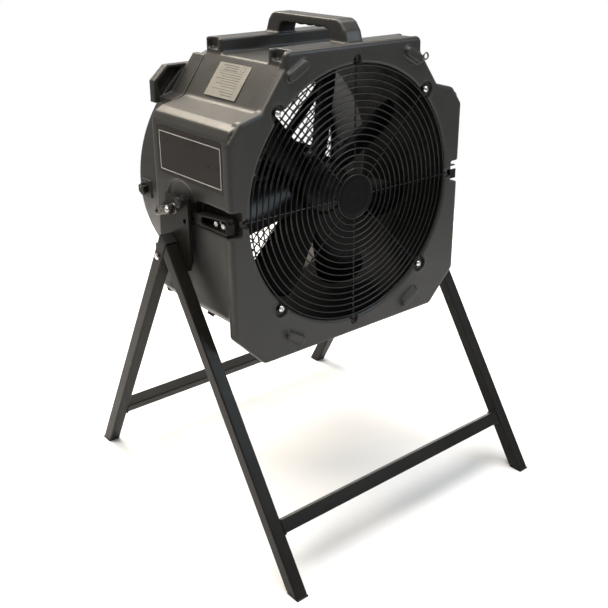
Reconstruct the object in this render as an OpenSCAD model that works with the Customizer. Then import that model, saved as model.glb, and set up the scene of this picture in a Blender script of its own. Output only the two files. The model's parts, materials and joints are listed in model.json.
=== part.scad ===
// Axial air mover: a moulded square-front fan housing that tilts in a folding A-frame stand.
// Frame: origin on the floor under the middle of the stand, the air outlet faces -Y, +Z is up.

/* [Housing] */
// Full width of the moulded housing
housing_width = 568; // [564:2:570]
// Height of the front panel
panel_height = 562; // [556:2:568]
// Depth from the front panel's face to the rear rim
housing_depth = 360; // [352:2:370]
// Thickness of the front panel
panel_thick = 14; // [12:1:16]
// Thickness of the moulded walls
wall = 4; // [3:0.5:5]
// Radius of the air outlet
outlet_r = 245; // [242:1:246]
// Radius of the round rear shell
drum_r = 256; // [254:1:258]
// Y of the front panel's face
front_y = -144; // [-150:1:-140]
// Height of the tilt axis, which is also the fan axis, above the floor
axis_height = 634; // [600:2:660]
// Distance from the front panel's face back to the tilt axis
pivot_depth = 162; // [158:1:166]

/* [Fan] */
// Tip radius of the fan blades
blade_tip_r = 237; // [225:1:239]
// Radius of the fan hub
hub_r = 58; // [50:1:62]
// Angle of the blades to the plane of rotation
blade_pitch = 28; // [20:1:34]
// Radius of the motor
motor_r = 70; // [60:1:76]
// Radius of the motor shaft
shaft_r = 8; // [6:0.5:10]

/* [Guards] */
// Number of rings in the front guard
ring_count = 17; // [12:1:18]
// Number of spokes in the front guard
spoke_count = 8; // [4:4:8]
// Wire thickness of the front guard
wire = 3; // [2:0.5:4]
// Radius of the guard's centre disc
badge_r = 41; // [36:1:46]
// Radius of the circle that the guard's screws stand on
screw_circle_r = 255; // [252:1:258]
// Pitch of the rear mesh
mesh_pitch = 32; // [28:1:40]

/* [Stand] */
// Outer width of the stand
stand_width = 650; // [646:2:656]
// Distance from the front feet's front edges to the rear feet's rear edges
stand_depth = 720; // [680:10:760]
// Width of the square tube
tube = 25.4; // [24:0.2:26]
// Wall thickness of the tube
tube_wall = 1.6; // [1.2:0.1:2.5]
// Distance up each leg from the floor end to the cross brace
brace_up = 117; // [90:1:160]
// Running clearance, on the radius, of the studs, bolts, pins and shaft
run_gap = 0.05; // [0.02:0.01:0.09]

/* [Hidden] */
$fn = 64;
eps = 1;
big = 2000;
half_w = housing_width / 2;
half_h = panel_height / 2;
shell_top = 257;
shell_back = 250;
shroud_out_r = outlet_r + 3.5;
grille_y = 1;
spoke_y = grille_y + wire - 0.5;
ring_step = (outlet_r - badge_r - 1 - wire) / (ring_count - 1);
mesh_y = housing_depth - 8;
switch_y = 333;
switch_z = -8;
loop_y = 290;
pad_x = drum_r + 2;
mount_y = 282;
motor_front = 176;
blade_count = 7;
fan_mid = 118;
fan_half = 36;
arm_low = -17;
arm_front = 10;
arm_out = half_w + 5;
arm_in = half_w - 12;
boss_out = arm_in - 0.3;
plate_out = stand_width / 2 - tube - 0.6;
plate_in = plate_out - 6;
stud_r = 6;
disc_r = 47;
bolt_row = [30, 52];
bolt_z = -6.5;
index_r = 38.8;
index_angle = 149.5;
pin_r = 4;
washer_out = plate_out + 0.3;
lever_in = washer_out + 3;
lever_out = lever_in + 12;
stud_end = lever_out + 1.5;
foot_thick = 3;
apex_y = 12.7;
apex_z = axis_height - 64.4;
front_lean = atan((stand_depth / 2 + apex_y) / apex_z);
rear_run = stand_depth / 2 - apex_y;
rear_lean = atan(rear_run / apex_z) - asin(tube / norm([rear_run, apex_z]));
rear_leg_length = sqrt(rear_run ^ 2 + apex_z ^ 2 - tube ^ 2);
tube_bore = tube - 2 * tube_wall;
fold_drop = 42;
fold_y = apex_y + cos(rear_lean) * tube / 2 + sin(rear_lean) * fold_drop;
fold_z = apex_z + sin(rear_lean) * tube / 2 - cos(rear_lean) * fold_drop;
fold_r = 4;
leg_in = plate_out;
rear_leg_in = plate_out + 0.5;
charcoal = "#55524c";
black = "#1c1b1a";
steel = "#b9bbbc";

// ---- placing helpers ----

// Places children given in the housing's own frame: y = 0 on the panel's face, z = 0 on the fan axis
module in_housing() translate([0, front_y, axis_height]) children();

// Extrudes an XZ outline from y0 to y1
module along_y(y0, y1) translate([0, y1, 0]) rotate([90, 0, 0]) linear_extrude(y1 - y0) children();

// Extrudes a YZ outline from x0 to x1
module along_x(x0, x1) translate([x0, 0, 0]) rotate([90, 0, 90]) linear_extrude(x1 - x0) children();

// Round bar along Y
module rod_y(r, y0, y1) translate([0, y0, 0]) rotate([-90, 0, 0]) cylinder(r = r, h = y1 - y0);

// Round bar along X
module rod_x(r, x0, x1) translate([x0, 0, 0]) rotate([0, 90, 0]) cylinder(r = r, h = x1 - x0);

// Children drawn on the right (side = 1) or on the left (side = -1)
module on_side(side) if (side > 0) children(); else mirror([1, 0, 0]) children();

// A right-hand outline closed by its mirror image
function both_halves(p) = concat(p, [for (i = [len(p) - 1:-1:0]) [-p[i][0], p[i][1]]]);

// Every second spoke of the front guard, on the diagonals, is held by a screw
function has_screw(i) = i % 2 == 1;

// Places children drawn along +X on one spoke of the front guard
module at_spoke(i) rotate([0, -i * 360 / spoke_count, 0]) children();

// Round sleeve along Y
module tube_y(r_out, r_in, y0, y1) difference() {
    rod_y(r_out, y0, y1);
    rod_y(r_in, y0 - eps, y1 + eps);
}

// ---- housing ----

panel_outline = both_halves([[150, half_h], [158, half_h - 4], [162, half_h - 12], [162, 252], [211, 186],
    [258, 174], [half_w, 140], [half_w, -half_h + 68], [half_w - 65, -half_h]]);
shell_outline = both_halves([[156, shell_top], [212, 183], [262, 171], [277, 163], [half_w, 149],
    [half_w, -179], [266, -200], [214, -214], [166, -262]]);
cavity_outline = both_halves([[154, shell_top - wall], [210, 183 - wall], [260, 171 - wall],
    [274, 162 - wall], [half_w - wall, 146], [half_w - wall, -177], [264, -196], [212, -210], [164, -258]]);

// Slot for the side arm, open to the front, with a rounded rear end
module arm_slot(depth, spare) {
    translate([half_w - depth, -eps, -22 - spare]) cube([depth + 9, 100 + eps, 46 + 2 * spare]);
    translate([0, 100, 1]) rod_x(23 + spare, half_w - depth, half_w + 9);
}

// Shallow arched recess round the tilt pivot
module pivot_recess(depth, spare) {
    translate([0, pivot_depth, 0]) rod_x(49 + spare, half_w - depth, half_w + 9);
    translate([half_w - depth, pivot_depth - 49 - spare, -22 - spare])
        cube([depth + 9, 98 + 2 * spare, 22 + spare]);
}

// Pocket in the panel for a spoke's end: a wide one with a screw, or a narrow one for a bare wire end
module guard_pocket(i) at_spoke(i) {
    pocket_r = has_screw(i) ? 13 : 7;
    translate([screw_circle_r, 0, 0]) rod_y(pocket_r, -eps, 7);
    translate([outlet_r - 8, -eps, -pocket_r]) cube([screw_circle_r - outlet_r + 8, 7 + eps, 2 * pocket_r]);
    if (has_screw(i)) translate([screw_circle_r, 0, 0]) rod_y(3, 0, panel_thick + eps);
}

// Raised oblong lug on the panel's face
module stacking_lug(a) rotate([0, -a, 0]) translate([287, 0, 0]) {
    translate([-8, -6, -16]) cube([16, 7, 32]);
    for (s = [-1, 1]) translate([0, 0, s * 16]) rod_y(8, -6, 1);
}

module front_panel() color(charcoal) in_housing() difference() {
    union() {
        along_y(0, panel_thick) polygon(panel_outline);
        for (a = [60.8, 119.2, 238.4, 301.6]) stacking_lug(a);
    }
    rod_y(outlet_r, -eps, panel_thick + eps);
    for (i = [0:spoke_count - 1]) guard_pocket(i);
    for (side = [-1, 1]) on_side(side) arm_slot(22, 0);
}

module main_shell() color(charcoal) in_housing() {
    difference() {
        along_y(panel_thick, shell_back) polygon(shell_outline);
        difference() {
            along_y(panel_thick + wall, shell_back - wall) polygon(cavity_outline);
            for (side = [-1, 1]) on_side(side) {
                arm_slot(22 + wall, wall);
                pivot_recess(5 + wall, wall);
            }
        }
        rod_y(shroud_out_r, 0, shell_back + eps);
        for (side = [-1, 1]) on_side(side) {
            arm_slot(22, 0);
            pivot_recess(5, 0);
        }
    }
    for (side = [-1, 1]) on_side(side) for (y = bolt_row) translate([0, y, bolt_z])
        rod_x(9, half_w - 23, boss_out);
}

// Two raised ridges across the top of the shell, with a notch in each end
module top_ridges() color(charcoal) in_housing() difference() {
    union() {
        translate([-156, panel_thick, shell_top]) cube([312, 43, half_h - shell_top]);
        translate([-156, 200, shell_top]) cube([312, shell_back - 200, half_h + 2 - shell_top]);
    }
    for (side = [-1, 1]) on_side(side) for (y = [panel_thick, 210]) translate([143, y, 264])
        cube([14, 33, 30]);
}

// Blocks in the round shell's two side windows: the switch's on the left, the cord inlet's on the right
module pad_blocks(depth) for (side = [-1, 1]) on_side(side)
    translate([pad_x - depth, switch_y - 18, switch_z - 18]) cube([depth, 36, 36]);

module rear_drum() color(charcoal) in_housing() difference() {
    rod_y(drum_r, shell_back, housing_depth);
    rod_y(drum_r - wall, shell_back - eps, housing_depth + eps);
    pad_blocks(20);
}

module side_pads() color(charcoal) in_housing() difference() {
    pad_blocks(12);
    translate([0, switch_y, switch_z]) {
        rod_x(5, -pad_x - eps, 0);
        rod_x(9, 0, pad_x + eps);
    }
}

// Upper rear corner: the slope runs on behind the shell to a plate with a slanted blind slot in its face
module corner_loop(side) color(charcoal) in_housing() on_side(side) difference() {
    union() {
        along_y(loop_y, loop_y + 18) polygon([[130, 232], [218, 232], [248, 205], [249, 164], [170, 170]]);
        along_y(shell_back, loop_y) polygon([[150, 250], [160, 250], [211, 182], [236, 175], [236, 150],
            [150, 150]]);
    }
    along_y(loop_y - eps, loop_y + 14) polygon([[184, 226], [214, 226], [241, 201], [235, 175]]);
    rod_y(drum_r, shell_back - eps, loop_y + 19);
}

module corner_loop_left() corner_loop(-1);
module corner_loop_right() corner_loop(1);

// Solid corners under the round shell that carry the rear pair of feet
module rear_foot_lugs() color(charcoal) in_housing() for (side = [-1, 1]) on_side(side) difference() {
    along_y(310, 350) polygon([[130, -224], [224, -224], [236, -212], [238, -130], [170, -170]]);
    rod_y(drum_r, 310 - eps, 350 + eps);
}

module carry_handle() color(charcoal) in_housing() difference() {
    along_x(-20, 20) polygon([[6, half_h], [14, 302], [26, 317], [36, 322], [214, 322], [226, 318],
        [236, 306], [248, half_h + 2], [206, half_h + 2], [198, 298], [190, 302], [66, 302],
        [58, 298], [48, half_h]]);
    for (i = [0:4]) translate([0, 78 + 25 * i, 292]) rod_x(14, -21, 21);
}

module fan_shroud() color(charcoal) in_housing() tube_y(shroud_out_r, outlet_r, panel_thick, shell_back + 4);

// ---- guards ----

// Front guard: rings in front, welded to spokes behind them; the screwed spokes end in eyelets
module front_grille() color(black) in_housing() difference() {
    union() {
        for (i = [0:ring_count - 1]) let (r = badge_r + wire + i * ring_step)
            tube_y(r, r - wire, grille_y, grille_y + wire);
        for (i = [0:spoke_count - 1]) at_spoke(i) {
            translate([badge_r - 4, spoke_y, -wire / 2]) cube([screw_circle_r - badge_r, wire, wire]);
            if (has_screw(i)) translate([screw_circle_r, 0, 0]) rod_y(7, spoke_y, spoke_y + wire);
        }
    }
    for (i = [0:spoke_count - 1]) if (has_screw(i)) at_spoke(i)
        translate([screw_circle_r, 0, 0]) rod_y(3, 0, 10);
}

module grille_badge() color(black) in_housing() rod_y(badge_r - 0.2, grille_y, spoke_y);

module grille_screws() color(steel) in_housing() for (i = [0:spoke_count - 1]) if (has_screw(i)) at_spoke(i)
    translate([screw_circle_r, 0, 0]) {
        rod_y(6.5, spoke_y - 4, spoke_y);
        rod_y(2.9, spoke_y, panel_thick);
    }

// Flat lattice of crossing strips at 45 degrees, trimmed to a circle
module rear_mesh() color(black) in_housing() along_y(mesh_y, mesh_y + 2) intersection() {
    circle(r = drum_r - wall - 0.4);
    union() for (a = [45, -45]) rotate(a) for (i = [-10:10])
        translate([-300, i * mesh_pitch - 1.5]) square([600, 3]);
}

module rear_mesh_ring() color(black) in_housing()
    tube_y(drum_r - wall, drum_r - wall - 10, mesh_y + 2, mesh_y + 5);

// ---- motor and electrics ----

module motor_body() color(black) in_housing() difference() {
    rod_y(motor_r, motor_front, mount_y - 14);
    rod_y(motor_r - 18, motor_front - eps, mount_y - 13);
}

module motor_end_bells() color(black) in_housing() {
    difference() {
        union() {
            rod_y(motor_r - 4, motor_front - 6, motor_front);
            rod_y(24, motor_front - 12, motor_front - 6);
        }
        rod_y(shaft_r + run_gap, motor_front - 20, motor_front + eps);
    }
    rod_y(motor_r - 4, mount_y - 14, mount_y);
}

// Four-armed strap frame behind the motor, with bent feet against the round shell
module motor_mount() color(black) in_housing() difference() {
    intersection() {
        union() {
            rod_y(46, mount_y, mount_y + 4);
            for (i = [0:3]) rotate([0, 45 + 90 * i, 0]) {
                translate([0, mount_y, -11]) cube([drum_r, 4, 22]);
                translate([drum_r - wall - 4, mount_y, -11]) cube([6, 24, 22]);
            }
        }
        rod_y(drum_r - wall, mount_y, mount_y + 24);
    }
    for (i = [0:3]) rotate([0, 90 * i, 0]) translate([36, 0, 0]) rod_y(3.2, mount_y - eps, mount_y + 5);
}

module motor_bolts() color(steel) in_housing() for (i = [0:3]) rotate([0, 90 * i, 0]) translate([36, 0, 0]) {
    rod_y(3, mount_y, mount_y + 4);
    rod_y(6, mount_y + 4, mount_y + 8);
}

module capacitor() color(black) in_housing() rotate([0, 20, 0]) translate([-motor_r - 17, 0, 0])
    rod_y(17, motor_front + 10, mount_y - 20);

module switch_box() color(black) in_housing() {
    translate([-pad_x + 12, switch_y - 16, switch_z - 20]) cube([30, 32, 40]);
    translate([0, switch_y, switch_z]) rod_x(3.5, -pad_x - 10, -pad_x + 12);
}

module cord_gland() color(black) in_housing() translate([0, switch_y, switch_z]) difference() {
    union() {
        rod_x(9, pad_x - 12, pad_x + 8);
        rod_x(13, pad_x, pad_x + 4);
    }
    rod_x(4.5, pad_x - 13, pad_x + 9);
}

// Round knob with six grip lobes
module switch_knob() color(black) in_housing() translate([0, switch_y, switch_z]) difference() {
    union() {
        rod_x(9, -pad_x - 12, -pad_x - 0.5);
        for (i = [0:5]) rotate([60 * i, 0, 0]) translate([0, 0, 8.5]) rod_x(3.5, -pad_x - 11, -pad_x - 2);
    }
    rod_x(3.5 + run_gap, -pad_x - 10.2, -pad_x);
}

module eye_bolt() color(charcoal) in_housing() translate([184, 30, 220]) rotate([0, 52.4, 0]) {
    cylinder(r = 3, h = 22);
    translate([0, 0, 28]) rotate([90, 0, 0]) translate([0, 0, -2.5]) difference() {
        cylinder(r = 8, h = 5);
        translate([0, 0, -1]) cylinder(r = 4.5, h = 7);
    }
}

// Blank plate on the left shoulder's slope
module rating_label() color("#c9c4b4") in_housing() translate([-212, 92, 183]) rotate([0, -52.9, 0])
    translate([10, 0, 0.1]) cube([68, 96, 0.6]);

module side_panel(side) color("#2b2623") in_housing() on_side(side)
    translate([half_w, 17, 52]) cube([0.6, 214, 88]);
module side_panel_left() side_panel(-1);
module side_panel_right() side_panel(1);

// Round feet: the front pair square to the shell's lower slopes, the rear pair under the corners behind
module housing_feet() color(black) in_housing() for (side = [-1, 1]) on_side(side) {
    translate([188.5, 207, -239.5]) rotate([0, 135, 0]) cylinder(r1 = 9, r2 = 8, h = 23);
    translate([214, 334, -238]) cylinder(r1 = 10, r2 = 12, h = 14);
}

// ---- tilt arms ----

// Side view of the arm's boxed part, which tapers towards the rear, drawn in by inset
module arm_outline(inset, rear) polygon([[arm_front + inset, arm_low + inset],
    [arm_front + inset, 11.5 - inset], [rear, 11.5 - inset - (rear - arm_front) / 9.4],
    [rear, arm_low + inset]]);

// Boxed arm with a long window in its outer face, ending in a flat index disc round the tilt stud
module side_arm(side) color(black) in_housing() on_side(side) difference() {
    union() {
        difference() {
            along_x(arm_in, arm_out) arm_outline(0, 104);
            along_x(arm_in + 3, arm_out - 3) arm_outline(3, 105);
        }
        translate([arm_out - 3, 100, arm_low]) cube([3, pivot_depth - 100, 18]);
        translate([0, pivot_depth, 0]) rod_x(disc_r, arm_out - 3, arm_out);
    }
    along_x(arm_out - 4, arm_out + 1) arm_outline(3, 82);
    translate([arm_in - 1, arm_front - 1, 2]) cube([20, 4, 12]);
    translate([0, 82, -6.6]) rod_x(7.2, arm_out - 4, arm_out + 1);
    translate([0, 113, -9]) rod_x(4.5, arm_out - 4, arm_out + 1);
    for (y = bolt_row) translate([0, y, bolt_z]) rod_x(4.2, arm_in - 1, arm_in + 4);
    translate([arm_out - 4, 142, 18.5]) cube([5, 80, 40]);
    translate([arm_out - 4, 100, 27]) cube([5, 60, 30]);
    translate([0, pivot_depth, 0]) {
        rod_x(stud_r, arm_out - 4, arm_out + 1);
        for (k = [0:6]) rotate([index_angle + 22.5 * k, 0, 0]) translate([0, index_r, 0])
            rod_x(pin_r + 0.2, arm_out - 4, arm_out + 1);
    }
}

module side_arm_left() side_arm(-1);
module side_arm_right() side_arm(1);

module arm_bolts() color(steel) in_housing() for (side = [-1, 1]) on_side(side) for (y = bolt_row)
    translate([0, y, bolt_z]) {
        rod_x(4, boss_out, arm_in + 3);
        rod_x(7, arm_in + 3, arm_in + 9);
    }

module pivot_stud(side) color(steel) in_housing() on_side(side) translate([0, pivot_depth, 0]) {
    rod_x(stud_r, arm_out - 3, stud_end);
    difference() {
        rod_x(14, arm_out, plate_in - 0.3);
        rod_x(stud_r, arm_out - 1, plate_in);
    }
}

module pivot_stud_left() pivot_stud(-1);
module pivot_stud_right() pivot_stud(1);

// Clamp lever with its washer, on the end of the tilt stud
module clamp_lever(side) color(steel) in_housing() on_side(side) translate([0, pivot_depth, 0]) difference() {
    union() {
        rod_x(10.5, washer_out, lever_in);
        rod_x(9, lever_in, lever_out);
        rotate([-16, 0, 0]) translate([lever_in + 1, 0, -8]) cube([lever_out - lever_in - 1, 46, 16]);
    }
    rod_x(stud_r + run_gap, plate_out, stud_end);
}

module clamp_lever_left() clamp_lever(-1);
module clamp_lever_right() clamp_lever(1);

// ---- fan ----

module motor_shaft() color(steel) in_housing() rod_y(shaft_r, fan_mid - fan_half + 6, mount_y - 16);

module impeller_hub() color(black) in_housing() difference() {
    union() {
        rod_y(hub_r, fan_mid - fan_half, fan_mid + fan_half);
        rod_y(hub_r - 14, fan_mid - fan_half - 6, fan_mid - fan_half);
    }
    rod_y(hub_r - 6, fan_mid - fan_half + 8, fan_mid + fan_half + eps);
    rod_y(shaft_r, fan_mid - fan_half + 6, fan_mid + fan_half);
}

// One flat blade, pitched about its own radius and fitted to the round hub
module blade(i) color(black) in_housing() rotate([0, 71.5 - i * 360 / blade_count, 0]) difference() {
    translate([0, fan_mid, 0]) rotate([-blade_pitch, 0, 0]) along_y(-2, 2) polygon([[50, -30], [120, -44],
        [blade_tip_r - 20, -56], [blade_tip_r - 5, -40], [blade_tip_r, 0], [blade_tip_r - 6, 44],
        [blade_tip_r - 20, 52], [120, 40], [50, 30]]);
    rod_y(hub_r, 0, 300);
}

module blade_1() blade(1);
module blade_2() blade(2);
module blade_3() blade(3);
module blade_4() blade(4);
module blade_5() blade(5);
module blade_6() blade(6);
module blade_7() blade(7);

// ---- stand head ----

module head_plate(side) color(black) on_side(side) difference() {
    in_housing() along_x(plate_in, plate_out) polygon([[124, -112], [115, -92], [115, 16], [119, 26],
        [127, 31], [137, 30], [150, 22], [166, 19], [190, 9.5], [202, -1], [213, -28], [215, -62],
        [212, -96], [207, -107], [198, -112]]);
    in_housing() {
        translate([0, pivot_depth, 0]) {
            rod_x(stud_r + run_gap, plate_in - eps, plate_out + eps);
            rotate([index_angle, 0, 0]) translate([0, index_r, 0]) rod_x(6, plate_in - eps, plate_out + eps);
        }
        translate([0, 128, -17]) rod_x(5, plate_in - eps, plate_out + eps);
    }
    translate([0, fold_y, fold_z]) rod_x(fold_r, plate_in - eps, plate_out + eps);
}

module head_plate_left() head_plate(-1);
module head_plate_right() head_plate(1);

module at_plunger(side) in_housing() on_side(side) translate([0, pivot_depth, 0])
    rotate([index_angle, 0, 0]) translate([0, index_r, 0]) children();

module plunger_body(side) color(black) at_plunger(side) difference() {
    union() {
        rod_x(6, plate_in, plate_out);
        rod_x(8, plate_out, plate_out + 3);
    }
    rod_x(pin_r + run_gap, plate_in - eps, plate_out + 4);
}

module plunger_body_left() plunger_body(-1);
module plunger_body_right() plunger_body(1);

module index_pin(side) color(black) at_plunger(side) {
    rod_x(pin_r, arm_out + 0.5, plate_out + 4);
    rod_x(10, plate_out + 4, plate_out + 13);
}

module index_pin_left() index_pin(-1);
module index_pin_right() index_pin(1);

// ---- stand ----

// Square tube standing on the origin, y from 0 to its width
module square_tube(length) difference() {
    cube([tube, tube, length]);
    translate([tube_wall, tube_wall, -eps]) cube([tube_bore, tube_bore, length + 2 * eps]);
}

// Children placed in the leaning front leg's frame: z runs up the leg from the front foot's front edge
module front_leg_frame() translate([0, -stand_depth / 2, 0]) rotate([-front_lean, 0, 0]) children();

// Children placed in the leaning rear leg's frame, with y = 0 on its front face
module rear_leg_frame() translate([0, stand_depth / 2, 0]) rotate([rear_lean, 0, 0]) translate([0, -tube, 0])
    children();

module front_leg(side) color(black) on_side(side) difference() {
    translate([leg_in, 0, 0]) front_leg_frame() translate([0, 0, -40]) square_tube(900);
    translate([0, -big / 2, -big + foot_thick]) cube([big, big, big]);
    rear_leg_frame() translate([0, -0.4, -big / 2]) cube([big, big, 2 * big]);
}

module front_leg_left() front_leg(-1);
module front_leg_right() front_leg(1);

// Cross brace between a pair of legs whose inner faces stand at +-inner
module brace_tube(inner) translate([-inner, 0, brace_up]) difference() {
    cube([2 * inner, tube, tube]);
    translate([-eps, tube_wall, tube_wall]) cube([2 * inner + 2 * eps, tube_bore, tube_bore]);
}

module front_brace() color(black) front_leg_frame() brace_tube(leg_in);

// Pair of plates that close the legs' floor ends
module foot_caps(inner, y0, lean) for (side = [-1, 1]) on_side(side)
    translate([inner, y0, 0]) cube([tube, tube / cos(lean), foot_thick]);

module front_foot_caps() color(black) foot_caps(leg_in, -stand_depth / 2, front_lean);

module rear_foot_caps() color(black)
    foot_caps(rear_leg_in, stand_depth / 2 - tube / cos(rear_lean), rear_lean);

module rear_leg(side) color(black) on_side(side) difference() {
    translate([rear_leg_in, 0, 0]) rear_leg_frame() translate([0, 0, -40]) square_tube(rear_leg_length + 40);
    translate([0, -big / 2, -big + foot_thick]) cube([big, big, big]);
    translate([0, fold_y, fold_z]) rod_x(fold_r + run_gap, rear_leg_in - eps, rear_leg_in + tube + eps);
}

module rear_leg_left() rear_leg(-1);
module rear_leg_right() rear_leg(1);

module rear_brace() color(black) rear_leg_frame() brace_tube(rear_leg_in);

module leg_top_caps() color(black) for (side = [-1, 1]) on_side(side)
    translate([rear_leg_in, 0, 0]) rear_leg_frame() translate([0, 0, rear_leg_length])
        cube([tube, tube, 2.5]);

module fold_bolts() color(steel) for (side = [-1, 1]) on_side(side) translate([0, fold_y, fold_z]) {
    rod_x(fold_r, plate_in, stand_width / 2 + 0.5);
    rod_x(8, plate_in - 3, plate_in);
    rod_x(7, stand_width / 2 + 0.5, stand_width / 2 + 4);
}

front_panel();
main_shell();
top_ridges();
rear_drum();
side_pads();
carry_handle();
corner_loop_left();
corner_loop_right();
rear_foot_lugs();
fan_shroud();
front_grille();
grille_badge();
grille_screws();
rear_mesh();
rear_mesh_ring();
motor_body();
motor_end_bells();
motor_mount();
motor_bolts();
capacitor();
switch_box();
cord_gland();
eye_bolt();
rating_label();
side_panel_left();
side_panel_right();
housing_feet();
side_arm_left();
side_arm_right();
arm_bolts();
pivot_stud_left();
pivot_stud_right();
motor_shaft();
impeller_hub();
blade_1();
blade_2();
blade_3();
blade_4();
blade_5();
blade_6();
blade_7();
switch_knob();
clamp_lever_left();
clamp_lever_right();
index_pin_left();
index_pin_right();
head_plate_left();
head_plate_right();
plunger_body_left();
plunger_body_right();
front_leg_left();
front_leg_right();
front_brace();
front_foot_caps();
fold_bolts();
rear_leg_left();
rear_leg_right();
rear_brace();
rear_foot_caps();
leg_top_caps();
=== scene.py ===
"""Looks of the axial air mover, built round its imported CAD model.

Lengths in the shape code are millimetres. Places read from the frame, AXIS_Z and FRONT_Y are metres.
"""

import json
from math import acos, atan2, cos, hypot, pi, radians, sin, sqrt, tan

import bmesh
import bpy
import numpy as np
from mathutils import Matrix, Vector


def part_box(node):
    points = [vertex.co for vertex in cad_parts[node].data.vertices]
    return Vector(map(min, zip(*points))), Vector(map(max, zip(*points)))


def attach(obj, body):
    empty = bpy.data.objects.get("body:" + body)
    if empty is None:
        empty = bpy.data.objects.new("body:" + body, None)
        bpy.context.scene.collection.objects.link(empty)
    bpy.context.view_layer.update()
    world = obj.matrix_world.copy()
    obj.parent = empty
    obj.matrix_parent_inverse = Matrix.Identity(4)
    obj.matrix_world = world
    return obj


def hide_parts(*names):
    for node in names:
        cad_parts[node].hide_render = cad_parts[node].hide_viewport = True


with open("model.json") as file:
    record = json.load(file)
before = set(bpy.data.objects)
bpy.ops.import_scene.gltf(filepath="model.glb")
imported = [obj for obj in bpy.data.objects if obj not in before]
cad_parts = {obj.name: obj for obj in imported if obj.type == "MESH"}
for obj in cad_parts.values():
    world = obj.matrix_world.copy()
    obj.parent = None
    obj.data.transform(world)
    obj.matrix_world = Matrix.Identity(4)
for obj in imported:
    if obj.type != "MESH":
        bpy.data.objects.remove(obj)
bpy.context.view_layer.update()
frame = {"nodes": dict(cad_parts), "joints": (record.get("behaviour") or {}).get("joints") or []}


def joint_place(name):
    """The point on a joint's axis, in metres."""
    return next(j["pos_m"] for j in frame["joints"] if j["name"] == name)


MM = 0.001
TAU = 2 * pi
PIVOT = joint_place("housing_tilt")
FOLD = joint_place("stand_fold")
AXIS_Z = PIVOT[2]
PIVOT_Y = 162.0
FRONT_Y = PIVOT[1] - PIVOT_Y * MM
HALF_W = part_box("front_panel")[1].x / MM
SHROUD_WALL = 3.5
OUTLET_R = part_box("fan_shroud")[1].x / MM - SHROUD_WALL
DRUM_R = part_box("rear_drum")[1].x / MM
DEPTH = (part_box("rear_drum")[1].y - FRONT_Y) / MM
SCREW_CIRCLE = 255.0
SHELL_BACK = 250.0
BOLT_ROW = (30, 52)
BOLT_Z = -6.5

# HOUSING takes the housing's millimetres (y = 0 on the panel's face, z = 0 on the fan axis) to the frame.
HOUSING = Matrix.Translation((0, FRONT_Y, AXIS_Z)) @ Matrix.Scale(MM, 4)
ROW_MM = Matrix.Scale(MM, 4)
AS_IS = Matrix.Identity(4)
MIRROR_X = Matrix.Scale(-1, 4, (1, 0, 0))
BOTH_SIDES = (AS_IS, MIRROR_X)
NAMED_SIDES = ((MIRROR_X, "left"), (AS_IS, "right"))


# ---- mesh building

POLE_R = 0.02
WELD_DISTANCE = 2e-6
FLAT_ANGLE = radians(0.6)
SOFTEN_FACTOR = 0.5
FINE_MESH = 60000


def rounded(points, radii, inset=0.0, steps=6):
    """Closed outline with rounded corners, drawn in by inset, with the same number of points at any inset."""
    pts = [Vector(p) for p in points]
    radii = list(radii) if isinstance(radii, (list, tuple)) else [radii] * len(pts)
    n = len(pts)
    area = sum(pts[i - 1].x * pts[i].y - pts[i].x * pts[i - 1].y for i in range(n))
    if area < 0:
        pts, radii = pts[::-1], radii[::-1]
    out = []
    for i in range(n):
        before, here, after = pts[i - 1], pts[i], pts[(i + 1) % n]
        d1, d2 = (here - before).normalized(), (after - here).normalized()
        n1, n2 = Vector((-d1.y, d1.x)), Vector((-d2.y, d2.x))
        corner = here + inset * (n1 + n2) / max(1 + n1.dot(n2), 0.05)
        turn = d1.x * d2.y - d1.y * d2.x
        side = 1 if turn > 0 else -1
        r = max(radii[i] - inset, 0.4) if turn > 0 else radii[i] + inset
        theta = acos(max(-1, min(1, d1.dot(d2))))
        start = corner - d1 * r * tan(theta / 2)
        centre = start + n1 * r * side
        a0 = atan2((start - centre).y, (start - centre).x)
        for k in range(steps + 1):
            a = a0 + side * theta * k / steps
            out.append(centre + r * Vector((cos(a), sin(a))))
    return out


def to_axis(axis, u, v, h):
    """A point h along an axis, with u and v on the other two axes in their own order."""
    return {"x": (h, u, v), "y": (u, h, v), "z": (u, v, h)}[axis]


def loft(loops, closed_ends=True, ring=False):
    """Quads between loops of equal length, with a cap at each end, or joined end to end when ring is set."""
    n = len(loops[0])
    verts = [Vector(p) for loop in loops for p in loop]
    faces = []
    count = len(loops) if ring else len(loops) - 1
    for i in range(count):
        a, b = i * n, ((i + 1) % len(loops)) * n
        for k in range(n):
            j = (k + 1) % n
            faces.append([a + k, a + j, b + j, b + k])
    if closed_ends and not ring:
        faces.append(list(range(n))[::-1])
        faces.append([(len(loops) - 1) * n + k for k in range(n)])
    return verts, faces


def soft_prism(points, radii, lo, hi, r_lo, r_hi, axis="y", steps=6, turns=5):
    """An outline extruded along an axis, with its two end edges rounded."""
    levels = []
    for k in range(turns + 1):
        t = pi / 2 * k / turns
        levels.append((lo + r_lo * (1 - cos(t)), r_lo * (1 - sin(t))))
    for k in range(turns + 1):
        t = pi / 2 * (1 - k / turns)
        levels.append((hi - r_hi * (1 - cos(t)), r_hi * (1 - sin(t))))
    loops = []
    for h, inset in levels:
        loops.append([to_axis(axis, p.x, p.y, h) for p in rounded(points, radii, inset, steps)])
    return loft(loops)


def soft_box(lo, hi, r, axis="y", r_side=None):
    """A box with rounded edges: r_side rounds the four edges along axis, r the others."""
    r_side = r if r_side is None else r_side
    i = "xyz".index(axis)
    u, v = [k for k in range(3) if k != i]
    points = [(lo[u], lo[v]), (hi[u], lo[v]), (hi[u], hi[v]), (lo[u], hi[v])]
    return soft_prism(points, r_side, lo[i], hi[i], r, r, axis, 4, 4)


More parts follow.
